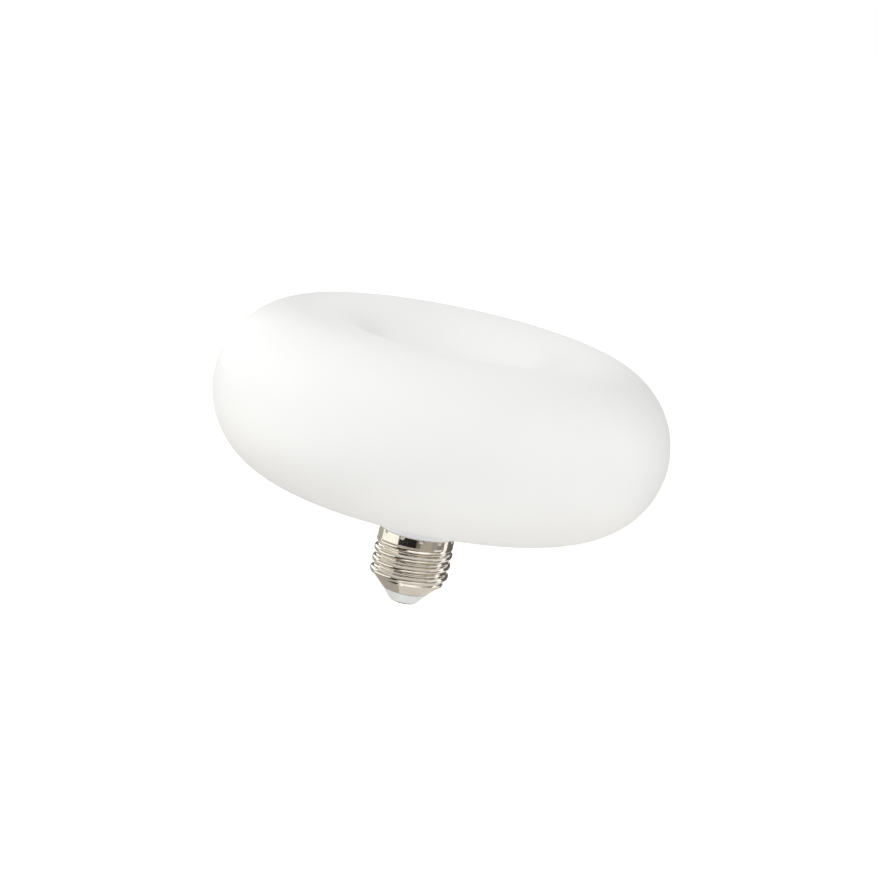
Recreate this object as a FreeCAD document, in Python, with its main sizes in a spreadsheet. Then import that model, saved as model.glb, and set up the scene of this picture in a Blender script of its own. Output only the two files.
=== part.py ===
# Ring-shaped lamp on a screw cap.
# A closed, opal ring with a round section is carried by a short white neck, and the neck ends
# in a pressed metal screw cap with an insulating nose and a centre contact.
# Millimetres. Z is the lamp's axis, the origin is the middle of the contact's flat face, and
# the ring is above it.

import FreeCAD, Part
import math
import os
import Sketcher

Vector = FreeCAD.Vector

# alias, value, what it is
SIZES = [
    ("ring_radius", 47.7, "lamp axis to the middle of the ring's round section"),
    ("tube_radius", 28.3, "the ring's round section"),
    ("ring_height", 64.3, "contact face to the ring's middle plane"),
    ("dimple_depth", 34.3, "ring's top to the floor of the dimple in its middle"),
    ("groove_drop", 16.0, "ring's middle plane down to the top of the groove round the neck"),
    ("skirt_length", 2.0, "straight edge of the diffuser, above its seam with the neck"),
    ("register_wall", 2.0, "width of the seam, outside the neck's register"),
    ("register_height", 2.0, "how far the neck's register stands into the diffuser"),
    ("seam_edge", 0.2, "rounding of the edges that meet at the neck's two seams"),
    ("neck_flare", 2.0, "how much wider the neck is at its rim than at its foot"),
    ("neck_straight", 2.0, "straight foot of the neck, above the cap"),
    ("fit_gap", 0.1, "clearance round what is pushed into another piece"),
    ("seat_gap", 0.05, "clearance under the nose's seat in the cap"),
    ("crest_radius", 13.1, "thread crests, half of the cap's nominal size"),
    ("thread_depth", 1.3, "crest to root"),
    ("thread_pitch", 3.629, "seven turns to the inch"),
    ("thread_place", 12.95, "height of one crest on the side of minus X"),
    ("sheet", 0.3, "thickness of the cap's sheet metal"),
    ("cap_height", 24.6, "contact face to the cap's top edge"),
    ("collar_step", 0.35, "how much smaller the plain collar is than the crests"),
    ("collar_length", 4.65, "plain collar"),
    ("shoulder_length", 0.95, "sloping edge from the collar to the thread's root"),
    ("thread_foot", 0.2, "how far the full thread reaches below the start of the rounded shoulder"),
    ("thread_head", 1.71, "how far the full thread ends below the collar"),
    ("low_fade", 200.0, "degrees of turn in which the thread's lower end sinks"),
    ("high_fade", 90.0, "degrees of turn in which the thread's upper end sinks"),
    ("bend_radius", 2.0, "rounded shoulder between the thread and the cone"),
    ("cone_angle", 44.0, "cone to lamp axis, in degrees"),
    ("mouth_radius", 7.95, "the cap's lower edge"),
    ("mouth_height", 4.15, "contact face to the cap's lower edge"),
    ("crimp_radius", 0.65, "ball of the punch that crimps the collar"),
    ("crimp_offset", 0.2, "ball's middle outside the collar"),
    ("crimp_drop", 0.5, "ball's middle below the cap's top edge"),
    ("crimp_turn", 9.6, "first crimp from plus X, in degrees"),
    ("crimp_count", 12, "crimps round the collar"),
    ("nose_radius", 4.8, "insulating nose at the contact"),
    ("nose_step", 0.1, "how much narrower the nose is than the cap's lower edge above it"),
    ("nose_top", 8.0, "contact face to the nose's inner end"),
    ("nose_edge", 0.25, "rounding of the nose's lower edge"),
    ("nose_flange", 2.0, "how much wider the nose's flange is than the cap's lower edge"),
    ("contact_radius", 4.3, "contact disc"),
    ("contact_thick", 0.45, "contact disc"),
    ("contact_edge", 0.12, "rounding of the disc's lower edge"),
    ("stem_radius", 1.1, "the contact's stem"),
    ("stem_length", 5.0, "the contact's stem, from the disc"),
]

PATH_POINTS = 24                            # points to each turn of the thread's path
RIDGE_SHARES = (0.43, 0.33, 0.2, 0.08)      # corners of the ridge's flats, in pitches from a crest
HOLLOW_SHARES = (0.43, 0.25, 0.08)          # the same for the hollow inside the ridge
HOLLOW_WIDTH = 0.75                         # the hollow's width to the ridge's

doc = FreeCAD.newDocument("ring_lamp")


def make_sheet():
    """The spreadsheet with one named cell for each driving size."""
    cells = doc.addObject("Spreadsheet::Sheet", "Sizes")
    for row, (alias, value, note) in enumerate(SIZES, start=1):
        cells.set("A%d" % row, alias)
        cells.set("B%d" % row, str(value))
        cells.set("C%d" % row, note)
        cells.setAlias("B%d" % row, alias)
    doc.recompute()
    return cells


def size(alias):
    """The value of a named cell."""
    return float(getattr(sizes, alias))


def value_of(formula):
    """What a formula in the cells' names comes to."""
    return float(sizes.evalExpression(formula))


sizes = make_sheet()


# Formulas that more than one piece uses, in the names of the cells.
COLLAR = "(Sizes.crest_radius - Sizes.collar_step)"
COLLAR_INSIDE = "(%s - Sizes.sheet)" % COLLAR
ROOT = "(Sizes.crest_radius - Sizes.thread_depth)"
ROOT_INSIDE = "(%s - Sizes.sheet)" % ROOT
COLLAR_FOOT = "(Sizes.cap_height - Sizes.collar_length)"
THREAD_TOP = "(%s - Sizes.shoulder_length)" % COLLAR_FOOT
CONE_TOP = "(%s - Sizes.bend_radius * (1 - cos(Sizes.cone_angle * 1deg)))" % ROOT
CONE_RUN = "((%s - Sizes.mouth_radius) / tan(Sizes.cone_angle * 1deg))" % CONE_TOP
BEND_START = "(Sizes.mouth_height + %s + Sizes.bend_radius * sin(Sizes.cone_angle * 1deg))" % CONE_RUN
THREAD_LOW = "(%s - Sizes.thread_foot)" % BEND_START
THREAD_HIGH = "(%s - Sizes.thread_head)" % COLLAR_FOOT
CRIMP_RING = "(%s + Sizes.crimp_offset)" % COLLAR
CRIMP_HEIGHT = "(Sizes.cap_height - Sizes.crimp_drop)"
NECK_RIM = "(%s + Sizes.neck_flare)" % COLLAR
REACH = "(Sizes.ring_radius - %s)" % NECK_RIM
GROOVE_SUM = "(%s + Sizes.tube_radius - Sizes.groove_drop)" % REACH
GROOVE_RADIUS = "(%s - sqrt(%s^2 - %s^2 - Sizes.groove_drop^2 + Sizes.tube_radius^2))" % (
    GROOVE_SUM, GROOVE_SUM, REACH)
GROOVE_CENTRE = "(Sizes.ring_height - Sizes.groove_drop - %s)" % GROOVE_RADIUS
SEAM = "(%s - Sizes.skirt_length)" % GROOVE_CENTRE
REGISTER = "(%s - Sizes.register_wall)" % NECK_RIM
DIMPLE_FLOOR = "(Sizes.ring_height + Sizes.tube_radius - Sizes.dimple_depth)"
BOWL_RADIUS = "((Sizes.ring_radius^2 + (Sizes.dimple_depth - Sizes.tube_radius)^2" \
              " - Sizes.tube_radius^2) / (2 * Sizes.dimple_depth))"


def origin_plane(body, role):
    """One of a body's own origin planes or axes."""
    return [part for part in body.Origin.OriginFeatures if part.Role == role][0]


def new_body(label):
    body = doc.addObject("PartDesign::Body", label + "_body")
    body.Label = label
    return body


def side_sketch(body, name):
    """A sketch in the body's XZ plane: its X is the radius and its Y the height."""
    sketch = body.newObject("Sketcher::SketchObject", name)
    sketch.AttachmentSupport = [(origin_plane(body, "XZ_Plane"), "")]
    sketch.MapMode = "FlatFace"
    return sketch


def bind_point(sketch, geometry, end, radius, height):
    """Hold an end of a line or arc at a radius and a height given as formulas."""
    if radius == "0":
        sketch.addConstraint(Sketcher.Constraint("PointOnObject", geometry, end, -2))
    else:
        bind(sketch, ("DistanceX", -1, 1, geometry, end), radius)
    if height == "0":
        sketch.addConstraint(Sketcher.Constraint("PointOnObject", geometry, end, -1))
    else:
        bind(sketch, ("DistanceY", -1, 1, geometry, end), height)


def bind(sketch, what, formula):
    """Add a dimension whose value is a formula in the cells' names."""
    index = sketch.addConstraint(Sketcher.Constraint(*what, value_of(formula)))
    sketch.setExpression("Constraints[%d]" % index, formula)


def polygon(sketch, corners):
    """A closed outline of straight lines, with each corner held by two formulas."""
    points = [Vector(value_of(radius), value_of(height), 0) for radius, height in corners]
    lines = [sketch.addGeometry(Part.LineSegment(start, end))
             for start, end in zip(points, points[1:] + points[:1])]
    for line, following in zip(lines, lines[1:] + lines[:1]):
        sketch.addConstraint(Sketcher.Constraint("Coincident", line, 2, following, 1))
    for line, (radius, height) in zip(lines, corners):
        bind_point(sketch, line, 1, radius, height)


def revolve(body, sketch, name):
    """A full turn of a sketch about the lamp's axis."""
    turn = body.newObject("PartDesign::Revolution", name)
    turn.Profile = sketch
    turn.ReferenceAxis = (sketch, ["V_Axis"])
    turn.Angle = 360.0
    body.Tip = turn
    doc.recompute()
    return turn


def round_rims(body, name, rims, radius):
    """Round the circular edges of a body that have the radii and heights given as formulas."""
    whole = body.Tip
    places = [(value_of(rim_radius), value_of(height)) for rim_radius, height in rims]
    edges = ["Edge%d" % (number + 1) for number, edge in enumerate(whole.Shape.Edges)
             if not edge.Degenerated and isinstance(edge.Curve, Part.Circle)
             and any(abs(edge.Curve.Radius - rim_radius) < 1e-6
                     and abs(edge.Curve.Center.z - height) < 1e-6 for rim_radius, height in places)]
    if len(edges) != len(rims):
        raise RuntimeError("%s: %d edges found for %d rims" % (name, len(edges), len(rims)))
    rounding = body.newObject("PartDesign::Fillet", name)
    rounding.Base = (whole, edges)
    rounding.setExpression("Radius", radius)
    body.Tip = rounding
    doc.recompute()


def line_between(sketch, start, end):
    return sketch.addGeometry(Part.LineSegment(start, end))


def arc_between(sketch, centre, radius, start_angle, end_angle):
    circle = Part.Circle(centre, Vector(0, 0, 1), radius)
    return sketch.addGeometry(Part.ArcOfCircle(circle, start_angle, end_angle))


def make_diffuser():
    """The opal ring: its hole is closed by a bowl, and a skirt under it meets the neck."""
    body = new_body("diffuser")
    sketch = side_sketch(body, "diffuser_section")
    ring = Vector(size("ring_radius"), size("ring_height"), 0)
    floor = value_of(DIMPLE_FLOOR)
    bowl = Vector(0, floor + value_of(BOWL_RADIUS), 0)
    rim = value_of(NECK_RIM)
    groove = Vector(rim + value_of(GROOVE_RADIUS), value_of(GROOVE_CENTRE), 0)
    seam = value_of(SEAM)
    register = value_of(REGISTER)
    recess_top = value_of(SEAM + " + Sizes.register_height + Sizes.fit_gap")
    to_ring = ring - bowl
    bowl_end = math.atan2(to_ring.y, to_ring.x)
    from_groove = ring - groove
    groove_start = math.atan2(from_groove.y, from_groove.x)

    bowl_arc = arc_between(sketch, bowl, value_of(BOWL_RADIUS), -math.pi / 2, bowl_end)
    ring_arc = arc_between(sketch, ring, size("tube_radius"), groove_start - math.pi,
                           bowl_end + math.pi)
    groove_arc = arc_between(sketch, groove, value_of(GROOVE_RADIUS), groove_start, math.pi)
    skirt = line_between(sketch, Vector(rim, groove.y, 0), Vector(rim, seam, 0))
    seam_line = line_between(sketch, Vector(rim, seam, 0), Vector(register, seam, 0))
    recess_wall = line_between(sketch, Vector(register, seam, 0), Vector(register, recess_top, 0))
    recess_roof = line_between(sketch, Vector(register, recess_top, 0), Vector(0, recess_top, 0))
    axis_line = line_between(sketch, Vector(0, recess_top, 0), Vector(0, floor, 0))

    for first, first_end, second, second_end in (
            (bowl_arc, 2, ring_arc, 2), (ring_arc, 1, groove_arc, 1), (groove_arc, 2, skirt, 1)):
        sketch.addConstraint(Sketcher.Constraint("Tangent", first, first_end, second, second_end))
    for first, second in ((skirt, seam_line), (seam_line, recess_wall),
                          (recess_wall, recess_roof), (recess_roof, axis_line)):
        sketch.addConstraint(Sketcher.Constraint("Coincident", first, 2, second, 1))
    sketch.addConstraint(Sketcher.Constraint("Coincident", axis_line, 2, bowl_arc, 1))
    sketch.addConstraint(Sketcher.Constraint("PointOnObject", bowl_arc, 3, -2))
    sketch.addConstraint(Sketcher.Constraint("Vertical", skirt))
    bind(sketch, ("Radius", ring_arc), "Sizes.tube_radius")
    bind(sketch, ("DistanceX", -1, 1, ring_arc, 3), "Sizes.ring_radius")
    bind(sketch, ("DistanceY", -1, 1, ring_arc, 3), "Sizes.ring_height")
    bind_point(sketch, bowl_arc, 1, "0", DIMPLE_FLOOR)
    bind(sketch, ("Radius", groove_arc), GROOVE_RADIUS)
    bind_point(sketch, skirt, 2, NECK_RIM, SEAM)
    bind_point(sketch, recess_wall, 1, REGISTER, SEAM)
    bind_point(sketch, recess_wall, 2, REGISTER, SEAM + " + Sizes.register_height + Sizes.fit_gap")
    bind_point(sketch, recess_roof, 2, "0", SEAM + " + Sizes.register_height + Sizes.fit_gap")
    revolve(body, sketch, "diffuser_turn")
    round_rims(body, "skirt_edge", [(NECK_RIM, SEAM)], "Sizes.seam_edge")
    return body


def make_neck():
    """The white neck: a spigot with crimp pockets in the cap, and the flared neck above it."""
    body = new_body("neck_housing")
    spigot = side_sketch(body, "spigot_section")
    spigot_end = BEND_START + " + Sizes.fit_gap"
    step = COLLAR_FOOT + " + Sizes.sheet"
    wide = COLLAR_INSIDE + " - Sizes.fit_gap"
    narrow = ROOT_INSIDE + " - Sizes.fit_gap"
    polygon(spigot, [("0", spigot_end), (narrow, spigot_end), (narrow, step), (wide, step),
                     (wide, "Sizes.cap_height"), ("0", "Sizes.cap_height")])
    revolve(body, spigot, "spigot")

    pocket = body.newObject("PartDesign::SubtractiveSphere", "crimp_pocket")
    pocket.setExpression("Radius", "Sizes.crimp_radius + Sizes.sheet + Sizes.fit_gap")
    pocket.AttachmentSupport = [(origin_plane(body, "XY_Plane"), "")]
    pocket.MapMode = "FlatFace"
    place = "AttachmentOffset.Base."
    pocket.setExpression(place + "x", "%s * cos(Sizes.crimp_turn * 1deg)" % CRIMP_RING)
    pocket.setExpression(place + "y", "%s * sin(Sizes.crimp_turn * 1deg)" % CRIMP_RING)
    pocket.setExpression(place + "z", CRIMP_HEIGHT)
    body.Tip = pocket
    doc.recompute()

    pockets = body.newObject("PartDesign::PolarPattern", "crimp_pockets")
    pockets.Originals = [pocket]
    pockets.Axis = (origin_plane(body, "Z_Axis"), [""])
    pockets.Angle = 360.0
    pockets.setExpression("Occurrences", "Sizes.crimp_count")
    body.Tip = pockets
    doc.recompute()

    neck = side_sketch(body, "neck_section")
    foot = Vector(value_of(COLLAR), size("cap_height"), 0)
    bend = Vector(foot.x, foot.y + size("neck_straight"), 0)
    rim = Vector(value_of(NECK_RIM), value_of(SEAM), 0)
    rise = rim.y - bend.y
    flare = rim.x - bend.x
    flare_radius = (rise ** 2 + flare ** 2) / (2 * flare)
    centre = Vector(bend.x + flare_radius, bend.y, 0)
    register = value_of(REGISTER + " - Sizes.fit_gap")
    register_top = value_of(SEAM + " + Sizes.register_height")
    base_line = line_between(neck, Vector(0, foot.y, 0), foot)
    straight = line_between(neck, foot, bend)
    flare_arc = arc_between(neck, centre, flare_radius, math.pi - math.asin(rise / flare_radius),
                            math.pi)
    seam_line = line_between(neck, rim, Vector(register, rim.y, 0))
    boss = line_between(neck, Vector(register, rim.y, 0), Vector(register, register_top, 0))
    boss_top = line_between(neck, Vector(register, register_top, 0), Vector(0, register_top, 0))
    axis_line = line_between(neck, Vector(0, register_top, 0), Vector(0, foot.y, 0))
    for first, second in ((base_line, straight), (seam_line, boss), (boss, boss_top),
                          (boss_top, axis_line), (axis_line, base_line)):
        neck.addConstraint(Sketcher.Constraint("Coincident", first, 2, second, 1))
    neck.addConstraint(Sketcher.Constraint("Tangent", straight, 2, flare_arc, 2))
    neck.addConstraint(Sketcher.Constraint("Coincident", flare_arc, 1, seam_line, 1))
    bind_point(neck, base_line, 1, "0", "Sizes.cap_height")
    bind_point(neck, straight, 1, COLLAR, "Sizes.cap_height")
    bind_point(neck, straight, 2, COLLAR, "Sizes.cap_height + Sizes.neck_straight")
    bind_point(neck, seam_line, 1, NECK_RIM, SEAM)
    bind_point(neck, boss, 1, REGISTER + " - Sizes.fit_gap", SEAM)
    bind_point(neck, boss_top, 1, REGISTER + " - Sizes.fit_gap", SEAM + " + Sizes.register_height")
    bind_point(neck, axis_line, 1, "0", SEAM + " + Sizes.register_height")
    revolve(body, neck, "neck")
    round_rims(body, "neck_edges", [(COLLAR, "Sizes.cap_height"), (NECK_RIM, SEAM)], "Sizes.seam_edge")
    return body


def knuckle(rise):
    """Radius of the rolled thread at a height above a crest: equal arcs, round crest and root."""
    pitch = size("thread_pitch")
    depth = size("thread_depth")
    away = abs((rise / pitch + 0.5) % 1.0 - 0.5) * pitch
    turn = 2 * math.atan2(depth, pitch / 2)
    arc = pitch / 4 / math.sin(turn)
    crest = size("crest_radius")
    if away < pitch / 4:
        return crest - arc + math.sqrt(arc ** 2 - away ** 2)
    return crest - depth + arc - math.sqrt(arc ** 2 - (pitch / 2 - away) ** 2)


def smooth(share):
    """A ramp from 0 to 1 with level ends."""
    share = min(max(share, 0.0), 1.0)
    return share * share * (3 - 2 * share)


def plain_foot(height):
    """Where the thread's foot runs on the plain sheet at a height, and the sheet's tilt there."""
    bend = size("bend_radius")
    drop = min(max(value_of(BEND_START) - height, 0.0), bend * math.sin(math.radians(size("cone_angle"))))
    tilt = math.asin(drop / bend)
    return value_of(ROOT) - bend * (1 - math.cos(tilt)), tilt


def thread_path():
    """The line of the thread's foot: a right-hand helix that sinks into the sheet at both ends."""
    pitch = size("thread_pitch")
    full_low = value_of(THREAD_LOW)
    full_high = value_of(THREAD_HIGH)
    lowest = full_low - pitch * size("low_fade") / 360
    highest = full_high + pitch * size("high_fade") / 360
    steps = round((highest - lowest) / pitch * PATH_POINTS)
    points = []
    for step in range(steps + 1):
        height = lowest + (highest - lowest) * step / steps
        turn = 2 * math.pi * ((height - size("thread_place")) / pitch + 0.5)
        below = (full_low - height) / (full_low - lowest)
        above = (height - full_high) / (highest - full_high)
        sunk = (size("thread_depth") + size("sheet") / 2) * smooth(max(below, above))
        foot, tilt = plain_foot(height)
        radius = foot - sunk * math.cos(tilt)
        points.append(Vector(radius * math.cos(turn), radius * math.sin(turn),
                             height + sunk * math.sin(tilt)))
    path = Part.BSplineCurve()
    path.interpolate(points)
    pieces = math.ceil((highest - lowest) / pitch * 2)
    stops = [path.FirstParameter + (path.LastParameter - path.FirstParameter) * piece / pieces
             for piece in range(pieces + 1)]
    feature = doc.addObject("Part::Feature", "thread_path")
    feature.Shape = Part.Wire([path.toShape(low, high) for low, high in zip(stops, stops[1:])])
    return feature


def swept_along(path, name, half_section):
    """Sweep a section along the thread: half_section lists radius past the foot and rise."""
    start = path.Shape.Vertexes[0].Point
    outward = Vector(start.x, start.y, 0).normalize()
    upper = [start + outward * radius + Vector(0, 0, rise) for radius, rise in half_section]
    lower = [start + outward * radius - Vector(0, 0, rise) for radius, rise in half_section]
    corners = upper + lower[::-1]
    section = doc.addObject("Part::Feature", name + "_section")
    section.Shape = Part.makePolygon(corners + corners[:1])
    sweep = doc.addObject("Part::Sweep", name)
    sweep.Sections = [section]
    sweep.Spine = (path, ["Edge%d" % (number + 1) for number in range(len(path.Shape.Edges))])
    sweep.Solid = True
    sweep.Frenet = True
    return sweep


def cap_form(label, inset):
    """The cap's form without thread and crimps, a depth inside the outside of its sheet."""
    body = new_body(label)
    sketch = side_sketch(body, label + "_section")
    slope = math.radians(size("cone_angle"))
    depth = value_of(inset)
    across = Vector(math.cos(slope), -math.sin(slope), 0)
    slant = "atan(Sizes.shoulder_length / (%s - %s))" % (COLLAR, ROOT)
    lift = " + %s * tan((90deg - %s) / 2)" % (inset, slant)
    corners = [("%s - %s" % (ROOT, inset), BEND_START),
               ("%s - %s" % (ROOT, inset), THREAD_TOP + lift),
               ("%s - %s" % (COLLAR, inset), COLLAR_FOOT + lift),
               ("%s - %s" % (COLLAR, inset), "Sizes.cap_height"),
               ("0", "Sizes.cap_height"),
               ("0", "Sizes.mouth_height"),
               ("Sizes.mouth_radius - %s / cos(Sizes.cone_angle * 1deg)" % inset, "Sizes.mouth_height")]
    points = [Vector(value_of(radius), value_of(height), 0) for radius, height in corners]
    centre = Vector(value_of(ROOT) - size("bend_radius"), value_of(BEND_START), 0)
    cone_top = centre + across * (size("bend_radius") - depth)
    lines = [line_between(sketch, start, end) for start, end in zip(points, points[1:] + [cone_top])]
    arc = arc_between(sketch, centre, size("bend_radius") - depth, -slope, 0)
    for line, following in zip(lines, lines[1:]):
        sketch.addConstraint(Sketcher.Constraint("Coincident", line, 2, following, 1))
    for line, (radius, height) in zip(lines, corners):
        bind_point(sketch, line, 1, radius, height)
    sketch.addConstraint(Sketcher.Constraint("Coincident", lines[-1], 2, arc, 1))
    sketch.addConstraint(Sketcher.Constraint("Coincident", arc, 2, lines[0], 1))
    bind(sketch, ("DistanceX", -1, 1, arc, 3), ROOT + " - Sizes.bend_radius")
    bind(sketch, ("DistanceY", -1, 1, arc, 3), BEND_START)
    bind(sketch, ("DistanceX", -1, 1, lines[-1], 2),
         "%s - %s * cos(Sizes.cone_angle * 1deg)" % (CONE_TOP, inset))
    revolve(body, sketch, label + "_turn")
    return body


def make_balls(name, radius):
    """Balls in a ring round the collar, joined in one object."""
    balls = []
    for number in range(round(size("crimp_count"))):
        ball = doc.addObject("Part::Sphere", "%s_%d" % (name, number + 1))
        turn = "((Sizes.crimp_turn + %d * 360 / Sizes.crimp_count) * 1deg)" % number
        ball.setExpression("Radius", radius)
        ball.setExpression("Placement.Base.x", "%s * cos(%s)" % (CRIMP_RING, turn))
        ball.setExpression("Placement.Base.y", "%s * sin(%s)" % (CRIMP_RING, turn))
        ball.setExpression("Placement.Base.z", CRIMP_HEIGHT)
        balls.append(ball)
    ring = doc.addObject("Part::Compound", name)
    ring.Links = balls
    return ring


def make_screw_shell():
    """The cap's shell: the sheet with its rolled thread, and its collar crimped to the neck."""
    path = thread_path()
    pitch = size("thread_pitch")
    root = value_of(ROOT)
    sheet = size("sheet")
    flanks = [(knuckle(share * pitch) - root, share * pitch) for share in RIDGE_SHARES]
    ridge = swept_along(path, "thread_ridge", [(-sheet / 2, flanks[0][1])] + flanks)
    hollow = [(knuckle(share * pitch) - root - sheet, share * pitch * HOLLOW_WIDTH)
              for share in HOLLOW_SHARES]
    groove = swept_along(path, "thread_hollow", [(-2 * sheet, hollow[0][1])] + hollow)

    raised = fuse("raised_form", [cap_form("cap_outside", "0"), ridge])
    inside = fuse("pressed_inside", [cap_form("cap_inside", "Sizes.sheet"), groove])
    rolled = cut("rolled_sheet", raised, inside)

    middle = doc.addObject("Part::Cylinder", "collar_middle")
    middle.setExpression("Radius", COLLAR + " - Sizes.sheet / 2")
    middle.setExpression("Height", "Sizes.collar_length")
    middle.setExpression("Placement.Base.z", COLLAR_FOOT)
    bumps = doc.addObject("Part::MultiCommon", "crimp_bumps")
    bumps.Shapes = [make_balls("bump_ball", "Sizes.crimp_radius + Sizes.sheet"), middle]
    crimped = fuse("crimped_sheet", [rolled, bumps])
    shell = cut("screw_shell", crimped, make_balls("punch_ball", "Sizes.crimp_radius"))
    doc.recompute()
    return shell


def fuse(name, pieces):
    """One solid of several pieces."""
    joined = doc.addObject("Part::MultiFuse", name)
    joined.Shapes = pieces
    return joined


def cut(name, piece, tool):
    """A piece without the room of a tool."""
    rest = doc.addObject("Part::Cut", name)
    rest.Base = piece
    rest.Tool = tool
    return rest


def make_nose():
    """The insulating nose: its flange seats inside the cap's cone and it holds the contact."""
    body = new_body("base_insulator")
    sketch = side_sketch(body, "nose_section")
    hole = "Sizes.stem_radius + Sizes.fit_gap"
    bottom = "Sizes.contact_thick"
    # the seat runs inside the cone, one sheet and one gap from its outside, and a ledge under
    # the sheet's edge carries the cone's line on
    ledge = "(Sizes.mouth_height - Sizes.seat_gap)"
    side = "((Sizes.sheet + Sizes.seat_gap) / cos(Sizes.cone_angle * 1deg))"
    waist = "(Sizes.mouth_radius - Sizes.seat_gap * tan(Sizes.cone_angle * 1deg) - %s)" % side
    flange = "(Sizes.mouth_radius + Sizes.nose_flange)"
    seat = "(Sizes.mouth_height + (%s + %s - Sizes.mouth_radius)" \
           " / tan(Sizes.cone_angle * 1deg))" % (flange, side)
    polygon(sketch, [(hole, bottom), ("Sizes.nose_radius", bottom),
                     ("Sizes.mouth_radius - Sizes.nose_step", ledge), (waist, ledge),
                     (flange, seat), (flange, "Sizes.nose_top"), (hole, "Sizes.nose_top")])
    revolve(body, sketch, "nose")
    round_rims(body, "nose_edge", [("Sizes.nose_radius", bottom)], "Sizes.nose_edge")
    return body


def make_contact():
    """The centre contact: a flat disc on a stem, like a broad nail."""
    body = new_body("centre_contact")
    sketch = side_sketch(body, "contact_section")
    tip = "Sizes.contact_thick + Sizes.stem_length"
    polygon(sketch, [("0", "0"), ("Sizes.contact_radius", "0"),
                     ("Sizes.contact_radius", "Sizes.contact_thick"),
                     ("Sizes.stem_radius", "Sizes.contact_thick"),
                     ("Sizes.stem_radius", tip), ("0", tip)])
    revolve(body, sketch, "disc_and_stem")
    round_rims(body, "disc_edge", [("Sizes.contact_radius", "0")], "Sizes.contact_edge")
    return body


def export(pieces):
    """Check every object of the document and write one file for each piece."""
    doc.recompute()
    for item in doc.Objects:
        if "Invalid" in item.State or "Error" in item.State:
            raise RuntimeError("%s: %s" % (item.Label, item.State))
    os.makedirs("parts", exist_ok=True)
    for piece in pieces:
        if piece.Shape.isNull() or not piece.Shape.isValid():
            raise RuntimeError("%s has no valid shape" % piece.Label)
        piece.Shape.exportStep("parts/%s.step" % piece.Label)
        print(piece.Label, "solids", len(piece.Shape.Solids), "volume %.1f" % piece.Shape.Volume)


export([make_diffuser(), make_neck(), make_screw_shell(), make_nose(), make_contact()])
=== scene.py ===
"""Dresses a packed ring lamp: a finish for every piece, a finely rolled screw shell and a studio.

Everything is in metres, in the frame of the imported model: Z is the lamp's axis, the origin is the
middle of the centre contact's face, and the camera stands on the side of minus Y.
"""

import math

import bpy
import numpy as np
from bpy.props import FloatProperty, FloatVectorProperty, IntProperty, PointerProperty
from mathutils import Matrix, Vector


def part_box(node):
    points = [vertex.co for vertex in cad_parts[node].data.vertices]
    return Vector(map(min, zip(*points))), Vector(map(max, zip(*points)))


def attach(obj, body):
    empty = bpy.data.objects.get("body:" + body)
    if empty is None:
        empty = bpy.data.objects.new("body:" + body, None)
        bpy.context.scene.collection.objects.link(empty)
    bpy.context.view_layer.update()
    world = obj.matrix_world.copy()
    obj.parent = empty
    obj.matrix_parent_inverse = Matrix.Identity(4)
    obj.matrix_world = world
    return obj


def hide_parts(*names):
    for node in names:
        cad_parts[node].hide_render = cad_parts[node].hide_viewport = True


bl_info = {
    "name": "Ring Lamp Looks",
    "version": (1, 0, 0),
    "blender": (4, 5, 0),
    "location": "3D View > Sidebar > Ring Lamp",
    "description": "Finishes, a rolled screw shell and a plain studio for a packed ring lamp",
    "category": "Object",
}

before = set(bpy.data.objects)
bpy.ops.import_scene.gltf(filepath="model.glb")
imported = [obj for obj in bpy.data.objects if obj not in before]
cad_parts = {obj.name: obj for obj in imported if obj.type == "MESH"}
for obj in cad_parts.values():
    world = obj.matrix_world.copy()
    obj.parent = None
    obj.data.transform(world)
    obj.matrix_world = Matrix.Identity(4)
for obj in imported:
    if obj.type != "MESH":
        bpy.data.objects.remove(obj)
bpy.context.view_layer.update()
SHELL_LOW, SHELL_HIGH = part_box("screw_shell")
RING_LOW, RING_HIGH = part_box("diffuser")
RING_CENTRE = (RING_LOW + RING_HIGH) / 2

IMAGE_WIDTH = 878       # pixels of the picture that the camera is set for
IMAGE_HEIGHT = 876
SENSOR_WIDTH = 36.0     # millimetres


# Sizes and colours

class OpalFinish(bpy.types.PropertyGroup):
    colour: FloatVectorProperty(
        name="Colour", description="Opal plastic of the ring", subtype="COLOR", min=0, max=1,
        default=(0.905, 0.905, 0.895))
    cloud_colour: FloatVectorProperty(
        name="Cloud colour", description="Slightly denser patches in the plastic", subtype="COLOR",
        min=0, max=1, default=(0.885, 0.888, 0.880))
    roughness: FloatProperty(
        name="Roughness", description="Satin skin of the moulded ring", min=0, max=1, default=0.46)
    grain_size: FloatProperty(
        name="Grain size", description="Width of the skin's fine texture", unit="LENGTH",
        default=0.00035)


class HousingFinish(bpy.types.PropertyGroup):
    colour: FloatVectorProperty(
        name="Colour", description="White plastic of the neck", subtype="COLOR", min=0, max=1,
        default=(0.87, 0.865, 0.88))
    cloud_colour: FloatVectorProperty(
        name="Cloud colour", description="Flow marks in the white plastic", subtype="COLOR",
        min=0, max=1, default=(0.84, 0.835, 0.86))
    roughness: FloatProperty(
        name="Roughness", description="Skin of the moulded neck", min=0, max=1, default=0.34)
    grain_size: FloatProperty(
        name="Grain size", description="Width of the skin's fine texture", unit="LENGTH",
        default=0.00025)


class NoseFinish(bpy.types.PropertyGroup):
    colour: FloatVectorProperty(
        name="Colour", description="Pale insulator under the cap", subtype="COLOR", min=0, max=1,
        default=(0.81, 0.82, 0.81))
    cloud_colour: FloatVectorProperty(
        name="Cloud colour", description="Cloudy patches of the insulator", subtype="COLOR",
        min=0, max=1, default=(0.75, 0.775, 0.775))
    roughness: FloatProperty(
        name="Roughness", description="Skin of the insulator", min=0, max=1, default=0.22)
    grain_size: FloatProperty(
        name="Grain size", description="Width of the skin's fine texture", unit="LENGTH",
        default=0.0002)


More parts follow.
